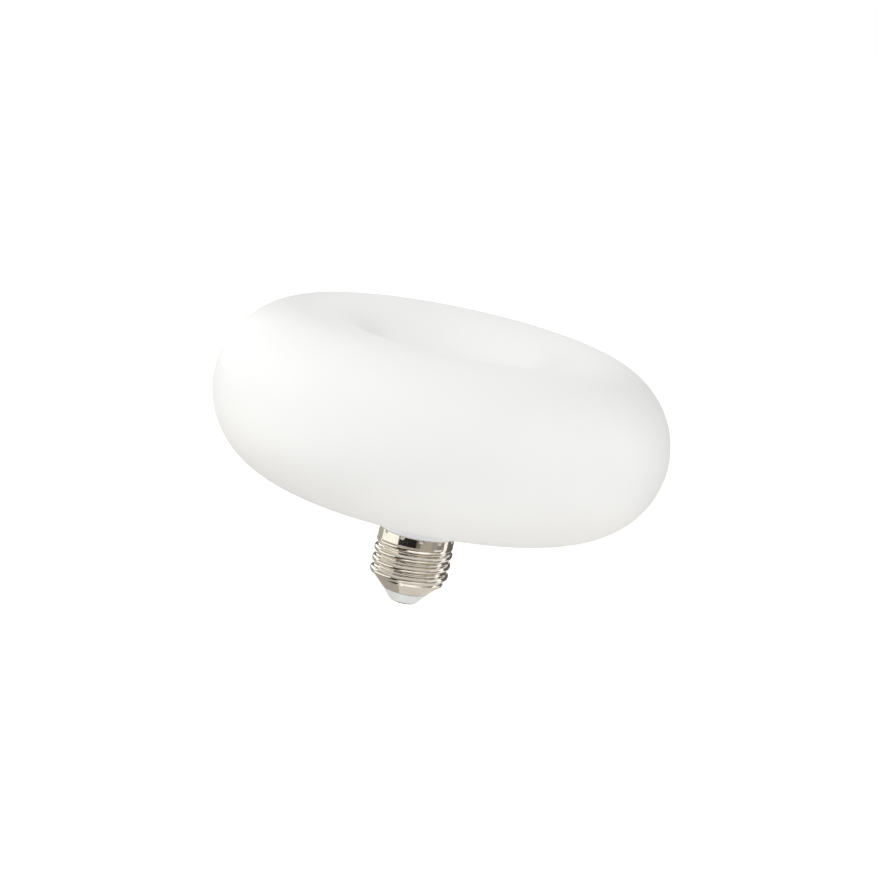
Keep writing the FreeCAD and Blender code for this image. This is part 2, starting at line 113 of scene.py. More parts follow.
class PlateFinish(bpy.types.PropertyGroup):
    colour: FloatVectorProperty(
        name="Colour", description="Bright plate of the screw shell", subtype="COLOR", min=0, max=1,
        default=(0.80, 0.755, 0.69))
    dull_colour: FloatVectorProperty(
        name="Dull colour", description="Plate where it was drawn thin", subtype="COLOR",
        min=0, max=1, default=(0.70, 0.65, 0.585))
    roughness: FloatProperty(
        name="Roughness", description="Polish of the plate", min=0, max=1, default=0.09)
    line_width: FloatProperty(
        name="Line width", description="Width of the fine rolling lines", unit="LENGTH",
        default=0.00012)


class ContactFinish(bpy.types.PropertyGroup):
    colour: FloatVectorProperty(
        name="Colour", description="Metal of the centre contact", subtype="COLOR", min=0, max=1,
        default=(0.60, 0.58, 0.54))
    dull_colour: FloatVectorProperty(
        name="Dull colour", description="Duller turns of the contact", subtype="COLOR",
        min=0, max=1, default=(0.42, 0.40, 0.37))
    roughness: FloatProperty(
        name="Roughness", description="Polish of the contact", min=0, max=1, default=0.3)
    line_width: FloatProperty(
        name="Line width", description="Width of the fine turning lines", unit="LENGTH",
        default=0.00018)


class ShellSizes(bpy.types.PropertyGroup):
    sheet: FloatProperty(
        name="Sheet", description="Thickness of the sheet", unit="LENGTH", default=0.0003)
    crest_radius: FloatProperty(
        name="Crest radius", description="Lamp axis to the thread's crests", unit="LENGTH",
        default=0.0131)
    thread_depth: FloatProperty(
        name="Thread depth", description="Crest to root", unit="LENGTH", default=0.0013)
    thread_pitch: FloatProperty(
        name="Thread pitch", description="Crest to crest", unit="LENGTH", default=0.003629)
    crest_height: FloatProperty(
        name="Crest height", description="Height of one crest on the side of minus X", unit="LENGTH",
        default=0.01305)
    collar_step: FloatProperty(
        name="Collar step", description="How much smaller the collar is than the crests",
        unit="LENGTH", default=0.00035)
    collar_length: FloatProperty(
        name="Collar length", description="Plain collar above the thread", unit="LENGTH",
        default=0.00465)
    shoulder_length: FloatProperty(
        name="Shoulder length", description="Sloping edge under the collar", unit="LENGTH",
        default=0.00095)
    thread_foot: FloatProperty(
        name="Thread foot", description="How far the full thread reaches below the cylinder",
        unit="LENGTH", default=0.0002)
    crest_share: FloatProperty(
        name="Crest share", description="Part of the pitch that the round crests take",
        min=0.3, max=0.7, default=0.61)
    run_out: FloatProperty(
        name="Run-out", description="How far the last full crest climbs over the collar's foot",
        unit="LENGTH", default=0.00165)
    ridge_sink: FloatProperty(
        name="Ridge sink", description="How much lower the crest runs over the collar",
        unit="LENGTH", default=0.0002)
    run_drop: FloatProperty(
        name="Run drop", description="How much lower than the helix the crest runs over the collar",
        unit="LENGTH", default=0.0004)
    groove_fill: FloatProperty(
        name="Groove fill", description="Height of the groove's floor at its end, to the collar's",
        min=0, max=1, default=0.7)
    groove_fade: FloatProperty(
        name="Groove fade", description="Turn before plus X in which the last groove grows shallow",
        unit="ROTATION", default=math.radians(54))
    foot_fade: FloatProperty(
        name="Foot fade", description="Turn behind plus X in which the collar's foot sinks back",
        unit="ROTATION", default=math.radians(72))
    foot_share: FloatProperty(
        name="Foot share", description="Last crest down to the collar's foot, in pitches",
        min=0, max=0.5, default=0.2)
    low_fade: FloatProperty(
        name="Low fade", description="Turn in which the thread's lower end sinks",
        unit="ROTATION", default=math.radians(200))
    high_fade: FloatProperty(
        name="High fade", description="Turn in which the thread's upper end sinks",
        unit="ROTATION", default=math.radians(90))
    bend_radius: FloatProperty(
        name="Bend radius", description="Rounded shoulder between the thread and the cone",
        unit="LENGTH", default=0.002)
    cone_angle: FloatProperty(
        name="Cone angle", description="Cone to lamp axis", unit="ROTATION",
        default=math.radians(44))
    mouth_radius: FloatProperty(
        name="Mouth radius", description="Lower edge of the cone", unit="LENGTH", default=0.00795)
    crimp_radius: FloatProperty(
        name="Crimp radius", description="Ball of the punch", unit="LENGTH", default=0.00065)
    crimp_offset: FloatProperty(
        name="Crimp offset", description="Ball's middle outside the collar", unit="LENGTH",
        default=0.0002)
    crimp_drop: FloatProperty(
        name="Crimp drop", description="Ball's middle below the top edge", unit="LENGTH",
        default=0.0005)
    crimp_turn: FloatProperty(
        name="Crimp turn", description="First crimp from plus X", unit="ROTATION",
        default=math.radians(9.6))
    crimp_count: IntProperty(
        name="Crimps", description="Crimps round the collar", min=1, default=12)
    columns: IntProperty(
        name="Columns", description="Mesh columns round the shell", min=24, default=336)


class CameraSettings(bpy.types.PropertyGroup):
    distance: FloatProperty(
        name="Distance", description="Camera to the ring's centre", unit="LENGTH", default=0.90)
    elevation: FloatProperty(
        name="Elevation", description="How far the camera looks down", unit="ROTATION",
        default=math.radians(12.125))
    roll: FloatProperty(
        name="Roll", description="Lean of the lamp to the right in the picture", unit="ROTATION",
        default=math.radians(11.966))
    ring_x: FloatProperty(
        name="Ring X", description="Picture column of the ring's centre, in pixels", default=442.05)
    ring_y: FloatProperty(
        name="Ring Y", description="Picture row of the ring's centre, in pixels", default=415.32)
    focal_length: FloatProperty(
        name="Focal length", description="Focal length of the lens in pixels of the picture",
        default=2742.3)


class StudioSettings(bpy.types.PropertyGroup):
    ambient: FloatProperty(
        name="Ambient", description="Light of the white studio on the lamp", default=0.69)
    lamp_strength: FloatProperty(
        name="Lamp strength", description="Factor for the brightness of all softboxes", default=1.0)
    floor_drop: FloatProperty(
        name="Floor drop", description="How far the floor lies below the held lamp",
        unit="LENGTH", default=0.45)
    floor_colour: FloatVectorProperty(
        name="Floor colour", description="Plain pale floor", subtype="COLOR", min=0, max=1,
        default=(0.86, 0.85, 0.83))


# Nodes that several materials use

def new_group(name, inputs, outputs):
    """A shader node group with named sockets: inputs are (name, default), outputs (name, kind)."""
    tree = bpy.data.node_groups.new(name, "ShaderNodeTree")
    for label, value in inputs:
        kind = "NodeSocketFloat" if isinstance(value, float) else "NodeSocketColor"
        socket = tree.interface.new_socket(name=label, in_out="INPUT", socket_type=kind)
        socket.default_value = value
    for label, kind in outputs:
        tree.interface.new_socket(name=label, in_out="OUTPUT", socket_type=kind)
    return tree, tree.nodes.new("NodeGroupInput"), tree.nodes.new("NodeGroupOutput")


def math_node(tree, operation, first, second=None):
    """A Math node: each side is a socket to link or a number."""
    node = tree.nodes.new("ShaderNodeMath")
    node.operation = operation
    for place, value in enumerate((first, second)):
        if isinstance(value, bpy.types.NodeSocket):
            tree.links.new(value, node.inputs[place])
        elif value is not None:
            node.inputs[place].default_value = value
    return node.outputs[0]


def noise_node(tree, vector, scale, detail):
    """A noise of a vector, from 0 to 1. The scale is a socket or a number."""
    node = tree.nodes.new("ShaderNodeTexNoise")
    node.inputs["Detail"].default_value = detail
    if isinstance(scale, bpy.types.NodeSocket):
        tree.links.new(scale, node.inputs["Scale"])
    else:
        node.inputs["Scale"].default_value = scale
    tree.links.new(vector, node.inputs["Vector"])
    return node.outputs["Fac"]


def colour_mix(tree, amount, first, second):
    """A colour between two colours, by an amount from 0 to 1."""
    node = tree.nodes.new("ShaderNodeMix")
    node.data_type = "RGBA"
    tree.links.new(amount, node.inputs["Factor"])
    tree.links.new(first, node.inputs["A"])
    tree.links.new(second, node.inputs["B"])
    return node.outputs["Result"]


def stretched(tree, value, low, high):
    """A value's range from low to high, spread over 0 to 1."""
    node = tree.nodes.new("ShaderNodeMapRange")
    node.inputs["From Min"].default_value = low
    node.inputs["From Max"].default_value = high
    tree.links.new(value, node.inputs["Value"])
    return node.outputs["Result"]


LOOK_OUTPUTS = [("Colour", "NodeSocketColor"), ("Roughness", "NodeSocketFloat"),
                ("Height", "NodeSocketFloat")]


def moulded_skin():
    """Group: plastic with soft clouds in its colour and a fine moulded texture."""
    tree, given, made = new_group(
        "Moulded skin",
        [("Colour", (0.8, 0.8, 0.8, 1.0)), ("Cloud Colour", (0.7, 0.7, 0.7, 1.0)),
         ("Cloud Size", 0.03), ("Grain Size", 0.0003), ("Roughness", 0.4), ("Roughness Spread", 0.06)],
        LOOK_OUTPUTS)
    place = tree.nodes.new("ShaderNodeTexCoord").outputs["Object"]
    cloud_scale = math_node(tree, "DIVIDE", 1.0, given.outputs["Cloud Size"])
    grain_scale = math_node(tree, "DIVIDE", 1.0, given.outputs["Grain Size"])
    wear_to_cloud = 2.7     # how much finer the wear is than the clouds
    wear_scale = math_node(tree, "DIVIDE", wear_to_cloud, given.outputs["Cloud Size"])
    clouds = noise_node(tree, place, cloud_scale, detail=3.0)
    grain = noise_node(tree, place, grain_scale, detail=2.0)
    wear = noise_node(tree, place, wear_scale, detail=4.0)
    colour = colour_mix(tree, stretched(tree, clouds, low=0.35, high=0.68),
                        given.outputs["Colour"], given.outputs["Cloud Colour"])
    spread = math_node(tree, "MULTIPLY", math_node(tree, "SUBTRACT", wear, 0.5),
                       given.outputs["Roughness Spread"])
    tree.links.new(colour, made.inputs["Colour"])
    tree.links.new(math_node(tree, "ADD", given.outputs["Roughness"], spread),
                   made.inputs["Roughness"])
    tree.links.new(grain, made.inputs["Height"])
    return tree


def turned_lines():
    """Group: metal with fine lines that run round the lamp's axis, and soft dull patches."""
    tree, given, made = new_group(
        "Turned lines",
        [("Colour", (0.8, 0.8, 0.8, 1.0)), ("Dull Colour", (0.6, 0.6, 0.6, 1.0)),
         ("Line Width", 0.0002), ("Patch Size", 0.004), ("Roughness", 0.15),
         ("Roughness Spread", 0.1)],
        LOOK_OUTPUTS)
    place = tree.nodes.new("ShaderNodeTexCoord").outputs["Object"]
    split = tree.nodes.new("ShaderNodeSeparateXYZ")
    tree.links.new(place, split.inputs[0])
    across, away, height = split.outputs
    squares = math_node(tree, "ADD", math_node(tree, "MULTIPLY", across, across),
                        math_node(tree, "MULTIPLY", away, away))
    radius = math_node(tree, "SQRT", squares)
    # the lines change fast along the section, in line widths, and slowly round the axis
    along = math_node(tree, "DIVIDE", math_node(tree, "ADD", radius, height),
                      given.outputs["Line Width"])
    slow = 2.0
    round_x = math_node(tree, "MULTIPLY", math_node(tree, "DIVIDE", across, radius), slow)
    round_y = math_node(tree, "MULTIPLY", math_node(tree, "DIVIDE", away, radius), slow)
    joined = tree.nodes.new("ShaderNodeCombineXYZ")
    for place_in_vector, value in enumerate((round_x, round_y, along)):
        tree.links.new(value, joined.inputs[place_in_vector])
    lines = noise_node(tree, joined.outputs[0], scale=1.0, detail=2.0)
    patch_scale = math_node(tree, "DIVIDE", 1.0, given.outputs["Patch Size"])
    patches = noise_node(tree, place, patch_scale, detail=4.0)
    mixed = math_node(tree, "MULTIPLY", stretched(tree, patches, low=0.4, high=0.75),
                      stretched(tree, lines, low=0.2, high=0.6))
    colour = colour_mix(tree, mixed, given.outputs["Colour"], given.outputs["Dull Colour"])
    spread = math_node(tree, "MULTIPLY", mixed, given.outputs["Roughness Spread"])
    tree.links.new(colour, made.inputs["Colour"])
    tree.links.new(math_node(tree, "ADD", given.outputs["Roughness"], spread),
                   made.inputs["Roughness"])
    tree.links.new(lines, made.inputs["Height"])
    return tree


def finish_with(name, group, values, bump_strength, bump_depth):
    """A material whose colour, roughness and relief come from a group, and its shader."""
    material = bpy.data.materials.new(name)
    material.use_nodes = True
    tree = material.node_tree
    shader = tree.nodes["Principled BSDF"]
    look = tree.nodes.new("ShaderNodeGroup")
    look.node_tree = group
    for label, value in values.items():
        look.inputs[label].default_value = value
    bump = tree.nodes.new("ShaderNodeBump")
    bump.inputs["Strength"].default_value = bump_strength
    bump.inputs["Distance"].default_value = bump_depth
    tree.links.new(look.outputs["Colour"], shader.inputs["Base Color"])
    tree.links.new(look.outputs["Roughness"], shader.inputs["Roughness"])
    tree.links.new(look.outputs["Height"], bump.inputs["Height"])
    tree.links.new(bump.outputs["Normal"], shader.inputs["Normal"])
    return material, shader


def group_named(name, maker):
    """A shared group, built the first time that it is needed."""
    return bpy.data.node_groups.get(name) or maker()


def opaque(colour):
    """A colour with its alpha, as a colour socket takes it."""
    return (*colour, 1.0)


def moulded_material(name, finish, cloud_size, spread, bump_strength, bump_depth):
    """A plastic finish from its settings, and its shader."""
    values = {"Colour": opaque(finish.colour), "Cloud Colour": opaque(finish.cloud_colour),
              "Cloud Size": cloud_size, "Grain Size": finish.grain_size,
              "Roughness": finish.roughness, "Roughness Spread": spread}
    group = group_named("Moulded skin", moulded_skin)
    return finish_with(name, group, values, bump_strength, bump_depth)


def turned_material(name, finish, patch_size, spread, bump_strength, bump_depth):
    """A metal finish from its settings."""
    values = {"Colour": opaque(finish.colour), "Dull Colour": opaque(finish.dull_colour),
              "Line Width": finish.line_width, "Patch Size": patch_size,
              "Roughness": finish.roughness, "Roughness Spread": spread}
    group = group_named("Turned lines", turned_lines)
    material, shader = finish_with(name, group, values, bump_strength, bump_depth)
    shader.inputs["Metallic"].default_value = 1.0
    return material


def dress(node, material):
    """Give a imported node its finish."""
    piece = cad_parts[node]
    if not piece.material_slots:
        piece.data.materials.append(material)
    for slot in piece.material_slots:
        slot.material = material


# The screw shell

FULL_TURN = 2 * math.pi
LAST_CREST = 2              # turns of the thread between the crest that the sizes place and the last
THREAD_FILLET = 0.00012     # rounding where the thread leaves the sheet
CRIMP_FILLET = 0.00008      # rounding of the crimps' rims
FIRST_CONE_ROW = 0.06       # part of the cone that the rounded edge of its mouth takes
CRIMP_REACH = 1.3           # how far the fine rows reach round a crimp, in its radii
CONE_ROWS = 10
BEND_ROWS = 30
THREAD_STEP = 0.00009       # height of the thread's rows
PLAIN_ROWS = 4
CRIMP_ROWS = 13
INSIDE_STEP = 5             # the inside has every fifth row of the outside
EDGE_POINTS = 5             # points round an edge of the sheet


def smooth(share):
    """A ramp from 0 to 1 with level ends."""
    share = np.clip(share, 0.0, 1.0)
    return share * share * (3 - 2 * share)


def soft_highest(first, second, width):
    """The higher of two values, with the corner between them rounded."""
    share = np.clip(0.5 + 0.5 * (first - second) / width, 0.0, 1.0)
    return second + (first - second) * share + width * share * (1 - share)


def knuckle(sizes, rise):
    """Height of the rolled thread over its root, at a height above a crest."""
    pitch = sizes.thread_pitch
    depth = sizes.thread_depth
    away = np.minimum(np.abs(rise), pitch / 2)
    turn = 2 * math.atan2(depth, pitch / 2)
    meeting = pitch / 2 * sizes.crest_share
    arc = meeting / math.sin(turn)
    root_arc = (pitch / 2 - meeting) / math.sin(turn)
    crest = depth - arc + np.sqrt(np.maximum(arc ** 2 - away ** 2, 0.0))
    root = root_arc - np.sqrt(np.maximum(root_arc ** 2 - (pitch / 2 - away) ** 2, 0.0))
    return np.where(away < meeting, crest, root)


class ShellPlan:
    """Heights and radii of the shell that follow from its sizes."""

    def __init__(self, sizes):
        bend = sizes.bend_radius
        slope = sizes.cone_angle
        self.top = SHELL_HIGH.z
        self.mouth = SHELL_LOW.z
        self.collar = sizes.crest_radius - sizes.collar_step
        self.root = sizes.crest_radius - sizes.thread_depth
        self.collar_foot = self.top - sizes.collar_length
        self.thread_top = self.collar_foot - sizes.shoulder_length
        self.cone_top = self.root - bend * (1 - math.cos(slope))
        self.bend_end = self.mouth + (self.cone_top - sizes.mouth_radius) / math.tan(slope)
        self.bend_start = self.bend_end + bend * math.sin(slope)
        self.full_low = self.bend_start - sizes.thread_foot
        self.full_high = self.collar_foot + sizes.run_out
        self.lowest = self.full_low - sizes.thread_pitch * sizes.low_fade / FULL_TURN
        self.highest = self.full_high + sizes.thread_pitch * sizes.high_fade / FULL_TURN


def shell_section(sizes, plan):
    """Outside of the plain sheet from its mouth to its rim: radius, height and outward normal."""
    bend = sizes.bend_radius
    slope = sizes.cone_angle
    across = (math.cos(slope), -math.sin(slope))
    rows = []
    for share in np.linspace(FIRST_CONE_ROW, 1.0, CONE_ROWS, endpoint=False):
        rows.append((sizes.mouth_radius + (plan.cone_top - sizes.mouth_radius) * share,
                     plan.mouth + (plan.bend_end - plan.mouth) * share, *across))
    for tilt in np.linspace(slope, 0.0, BEND_ROWS, endpoint=False):
        rows.append((plan.root - bend * (1 - math.cos(tilt)),
                     plan.bend_start - bend * math.sin(tilt), math.cos(tilt), -math.sin(tilt)))
    thread_rows = round((plan.highest - plan.bend_start) / THREAD_STEP)
    for height in np.linspace(plan.bend_start, plan.highest, thread_rows, endpoint=False):
        rows.append((plan.root, height, 1.0, 0.0))
    crimp_foot = plan.top - sizes.crimp_drop - CRIMP_REACH * sizes.crimp_radius
    for height in np.linspace(plan.highest, crimp_foot, PLAIN_ROWS, endpoint=False):
        rows.append((plan.collar, height, 1.0, 0.0))
    for height in np.linspace(crimp_foot, plan.top - sizes.sheet / 2, CRIMP_ROWS):
        rows.append((plan.collar, height, 1.0, 0.0))
    return np.array(rows)


def crest_line(sizes, turns):
    """Height of the thread's crest at a turn from plus X. On minus X it is the crest height."""
    return sizes.crest_height + sizes.thread_pitch * (turns / FULL_TURN - 0.5)


def collar_relief(sizes, plan, turns, heights):
    """How far the collar's foot stands over the thread's root. It climbs with the last groove.

    The last groove starts behind the lamp, on plus Y, runs round by the front and grows shallow
    towards plus X. From there the foot sinks back.
    """
    pitch = sizes.thread_pitch
    behind = math.pi / 2
    round_once = (turns - behind) % FULL_TURN + behind
    last_crest = crest_line(sizes, round_once) + LAST_CREST * pitch
    ending = smooth((round_once - FULL_TURN) / sizes.groove_fade + 1)
    back = 1 - smooth((round_once - FULL_TURN) / sizes.foot_fade)
    foot = last_crest - sizes.foot_share * pitch - sizes.run_drop
    climb = np.maximum(foot - plan.collar_foot, 0.0) * back
    # the shoulder is an S-curve, as the sheet is pressed without sharp corners
    shoulder = smooth((heights - plan.collar_foot - climb) / sizes.shoulder_length + 1)
    flank = pitch / 4
    over_crest = smooth((heights - last_crest + pitch) / flank)
    floor = sizes.groove_fill * ending * back * over_crest
    return (plan.collar - plan.root) * np.maximum(shoulder, floor) * (heights < plan.highest)


def thread_relief(sizes, plan, turns, heights, plain):
    """How far the sheet stands over its plain section, for each row and turn.

    The plain relief is that of the collar's foot. The thread shows where it stands higher, and
    the corner between them is rounded where the thread sinks or the collar begins.
    """
    pitch = sizes.thread_pitch
    start = crest_line(sizes, turns)
    nearest = start + np.round((heights - start) / pitch) * pitch
    relief = plain
    for step in (-1, 0, 1):
        crest = nearest + step * pitch
        below = (plan.full_low - crest) / (plan.full_low - plan.lowest)
        above = (crest - plan.full_high) / (plan.highest - plan.full_high)
        on_collar = smooth((crest - plan.thread_top) / sizes.shoulder_length)
        sunk = ((sizes.thread_depth + sizes.sheet / 2) * smooth(np.maximum(below, above))
                + sizes.ridge_sink * on_collar)
        ridge = knuckle(sizes, heights - crest + sizes.run_drop * on_collar) - sunk
        soft = soft_highest(ridge, plain, THREAD_FILLET)
        sharp = np.maximum(ridge, plain)
        relief = np.maximum(relief, np.where((sunk > 0) | (plain > 0), soft, sharp))
    return np.where(heights < plan.highest, relief, 0.0)


def crimp_relief(sizes, plan, turns, heights):
    """The dents of the crimps, as a depth into the collar. Outside the ball they fall away."""
    step = FULL_TURN / sizes.crimp_count
    share = (turns - sizes.crimp_turn) / step
    sideways = (share - np.round(share)) * step * plan.collar
    upwards = heights - (plan.top - sizes.crimp_drop)
    apart = np.sqrt(sideways ** 2 + upwards ** 2)
    inside = np.sqrt(np.maximum(sizes.crimp_radius ** 2 - apart ** 2, 0.0)) - sizes.crimp_offset
    outside = sizes.crimp_radius - apart - sizes.crimp_offset
    dent = np.where(apart < sizes.crimp_radius, inside, outside)
    return np.maximum(soft_highest(dent, 0.0, CRIMP_FILLET), 0.0) * (heights > plan.collar_foot)


def rounded_edge(outer, inner, count):
    """Points of the half circle that closes the sheet between an outer and an inner row."""
    middle = (outer + inner) / 2
    half = (outer - inner) / 2
    ahead = np.stack([-half[:, 1], half[:, 0]], axis=1)
    return [middle + half * math.cos(turn) + ahead * math.sin(turn)
            for turn in np.linspace(0, math.pi, count + 2)[1:-1]]


def closed_rings(row_count, columns):
    """Faces between rings of points: each ring meets the next, and the last meets the first."""
    faces = []
    for row in range(row_count):
        lower = row * columns
        upper = (row + 1) % row_count * columns
        for column in range(columns):
            ahead = (column + 1) % columns
            faces.append((lower + column, lower + ahead, upper + ahead, upper + column))
    return faces


def shell_mesh(sizes):
    """A closed mesh of the rolled sheet: outside up, over the rim, inside down and round the mouth."""
    plan = ShellPlan(sizes)
    section = shell_section(sizes, plan)
    turns = np.arange(sizes.columns) * FULL_TURN / sizes.columns
    radii, heights, out_radius, out_height = (section[:, column:column + 1] for column in range(4))
    plain = collar_relief(sizes, plan, turns[None, :], heights)
    relief = (thread_relief(sizes, plan, turns[None, :], heights, plain)
              - crimp_relief(sizes, plan, turns[None, :], heights))
    outer = np.stack([radii + out_radius * relief, heights + out_height * relief], axis=2)
    inner = outer - np.stack([out_radius, out_height], axis=2) * sizes.sheet
    kept = list(range(0, len(section) - 1, INSIDE_STEP)) + [len(section) - 1]
    rim = rounded_edge(outer[-1], inner[-1], EDGE_POINTS)
    # round the mouth the half circle runs from the inside to the outside
    mouth = rounded_edge(inner[0], outer[0], EDGE_POINTS)
    rows = list(outer) + rim + [inner[row] for row in reversed(kept)] + mouth
    points = np.array(rows)
    vertices = np.stack([points[:, :, 0] * np.cos(turns), points[:, :, 0] * np.sin(turns),
                         points[:, :, 1]], axis=2).reshape(-1, 3)
    faces = closed_rings(len(rows), sizes.columns)
    mesh = bpy.data.meshes.new("rolled_screw_shell")
    mesh.from_pydata(vertices.tolist(), [], faces)
    mesh.polygons.foreach_set("use_smooth", [True] * len(faces))
    mesh.validate()
    mesh.update()
    return mesh


# Operators

class RINGLAMP_OT_diffuser(bpy.types.Operator):
    """Give the opal ring its satin finish"""
    bl_idname = "ringlamp.diffuser"
    bl_label = "Dress the ring"

    def execute(self, context):
        finish = context.scene.ring_lamp_opal
        material, shader = moulded_material("opal_satin", finish, cloud_size=0.045, spread=0.05,
                                            bump_strength=0.05, bump_depth=0.00005)
        shader.inputs["IOR"].default_value = 1.5
        dress("diffuser", material)
        return {"FINISHED"}


class RINGLAMP_OT_neck(bpy.types.Operator):
    """Give the moulded neck its white plastic"""
    bl_idname = "ringlamp.neck"
    bl_label = "Dress the neck"

    def execute(self, context):
        finish = context.scene.ring_lamp_housing
        material, _shader = moulded_material("neck_white", finish, cloud_size=0.012, spread=0.1,
                                             bump_strength=0.12, bump_depth=0.00005)
        dress("neck_housing", material)
        return {"FINISHED"}


class RINGLAMP_OT_screw_shell(bpy.types.Operator):
    """Roll the screw shell from its sheet and plate it"""
    bl_idname = "ringlamp.screw_shell"
    bl_label = "Build the screw shell"

    def execute(self, context):
        mesh = shell_mesh(context.scene.ring_lamp_shell)
        finish = context.scene.ring_lamp_plate
        material = turned_material("bright_plate", finish, patch_size=0.006, spread=0.07,
                                   bump_strength=0.07, bump_depth=0.00002)
        mesh.materials.append(material)
        shell = bpy.data.objects.new("rolled_screw_shell", mesh)
        context.scene.collection.objects.link(shell)
        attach(shell, "root")
        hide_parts("screw_shell")
        return {"FINISHED"}


class RINGLAMP_OT_nose(bpy.types.Operator):
    """Give the insulating nose its pale glaze"""
    bl_idname = "ringlamp.nose"
    bl_label = "Dress the nose"

    def execute(self, context):
        finish = context.scene.ring_lamp_nose
        material, shader = moulded_material("pale_insulator", finish, cloud_size=0.005, spread=0.1,
                                            bump_strength=0.1, bump_depth=0.00004)
        shader.inputs["Coat Weight"].default_value = 0.4
        shader.inputs["Coat Roughness"].default_value = 0.1
        dress("base_insulator", material)
        return {"FINISHED"}


class RINGLAMP_OT_contact(bpy.types.Operator):
    """Give the centre contact its turned metal"""
    bl_idname = "ringlamp.contact"
    bl_label = "Dress the contact"

    def execute(self, context):
        finish = context.scene.ring_lamp_contact
        material = turned_material("contact_metal", finish, patch_size=0.002, spread=0.15,
                                   bump_strength=0.25, bump_depth=0.00003)
        dress("centre_contact", material)
        return {"FINISHED"}


# The studio: azimuth 0 is the camera's side, and azimuths grow to the picture's right

SOFTBOX_DISTANCE = 1.2
FLOOR_WIDTH = 30.0
FLOOR_LIFT = 0.55           # glow that brings the lit floor to white where it is seen

# name, azimuth and elevation in degrees, side, strength
SOFTBOXES = (
    ("left_softbox", -100, 20, 0.85, 1.62),
    ("upper_left_softbox", -75, 50, 0.7, 0.30),
    ("low_left_softbox", -75, -15, 0.6, 0.39),
    ("front_left_softbox", -30, 5, 0.7, 0.97),
    ("low_right_softbox", 80, -30, 0.5, 4.83),
    ("front_right_softbox", 30, 25, 0.6, 1.56),
    ("upper_front_softbox", 0, 45, 0.7, 0.82),
    ("right_back_softbox", 130, -10, 0.6, 0.95),
    ("right_softbox", 110, 20, 0.6, 0.78),
    ("left_back_softbox", -140, 0, 0.6, 1.45),
)
# name, from and to in azimuth, from and to in elevation, distance, brightness
UPRIGHT_CARDS = (
    ("black_card", (-50, 6), (-40, -8), 0.62, (0.015, 0.014, 0.012)),
    ("edge_card", (6, 18), (-40, -8), 0.62, (0.20, 0.185, 0.16)),
    ("front_taupe_card", (-32, 62), (-8, 52), 0.64, (0.46, 0.42, 0.38)),
    ("grey_card", (18, 52), (-40, 2), 0.70, (0.46, 0.43, 0.38)),
    ("dull_card", (52, 72), (-50, 2), 0.69, (0.37, 0.345, 0.305)),
    ("right_grey_card", (72, 98), (-58, 2), 0.68, (0.27, 0.25, 0.22)),
    ("right_dark_card", (113, 163), (-22, 38), 0.66, (0.15, 0.14, 0.13)),
    ("bright_card", (-115, -53), (-24, -5), 0.66, (1.25, 1.28, 1.21)),
    ("upper_left_card", (-115, -32), (-5, 52), 0.65, (0.48, 0.445, 0.40)),
    ("left_grey_card", (-160, -117), (-26, 4), 0.68, (0.48, 0.47, 0.44)),
    ("left_dark_card", (-172, -155), (-6, 38), 0.66, (0.24, 0.23, 0.21)),
)
# name, from and to in X, from and to in Y, height, brightness
FLAT_CARDS = (
    ("black_flat_card", (-0.40, -0.10), (-0.42, -0.03), -0.29, (0.09, 0.08, 0.07)),
    ("taupe_card", (-0.50, -0.045), (-0.05, 0.90), -0.30, (0.46, 0.43, 0.39)),
    ("beige_card", (-0.045, 0.50), (-0.20, 0.90), -0.31, (0.77, 0.745, 0.70)),
)


def direction(azimuth, elevation):
    """The unit vector from the lamp to a place, from angles in degrees."""
    turn = math.radians(azimuth)
    lift = math.radians(elevation)
    return Vector((math.sin(turn) * math.cos(lift), -math.cos(turn) * math.cos(lift), math.sin(lift)))


def facing(target, azimuth, elevation, distance):
    """A matrix at a distance from a target whose minus Z looks at the target."""
    away = direction(azimuth, elevation)
    turn = (-away).to_track_quat("-Z", "Y").to_matrix().to_4x4()
    return Matrix.Translation(target + away * distance) @ turn


def softbox(name, azimuth, elevation, side, strength):
    """A square white lamp that looks at the ring. Its strength is the brightness of its face."""
    lamp = bpy.data.lights.new(name, "AREA")
    lamp.shape = "SQUARE"
    lamp.size = side
    lamp.energy = strength * math.pi * side ** 2
    box = bpy.data.objects.new(name, lamp)
    box.matrix_world = facing(RING_CENTRE, azimuth, elevation, SOFTBOX_DISTANCE)
    bpy.context.scene.collection.objects.link(box)


def stage_plane(name, width, height):
    """A flat rectangle round the origin that belongs to the studio."""
    mesh = bpy.data.meshes.new(name)
    corners = [(-width / 2, -height / 2, 0), (width / 2, -height / 2, 0),
               (width / 2, height / 2, 0), (-width / 2, height / 2, 0)]
    mesh.from_pydata(corners, [], [(0, 1, 2, 3)])
    plane = bpy.data.objects.new(name, mesh)
    bpy.context.scene.collection.objects.link(plane)
    return plane


def upright_card(name, target, azimuths, elevations, distance, brightness):
    """A studio card that stands round the lamp between two azimuths and two elevations."""
    middle = (azimuths[0] + azimuths[1]) / 2
    width = 2 * distance * math.tan(math.radians(azimuths[1] - azimuths[0]) / 2)
    low, high = (distance * math.tan(math.radians(angle)) for angle in elevations)
    card = studio_card(name, width, high - low, brightness)
    card.matrix_world = facing(target + Vector((0, 0, (low + high) / 2)), middle, 0, distance)


def flat_card(name, across, away, height, brightness):
    """A studio card that lies under the lamp between two X and two Y."""
    card = studio_card(name, across[1] - across[0], away[1] - away[0], brightness)
    card.location = ((across[0] + across[1]) / 2, (away[0] + away[1]) / 2, height)


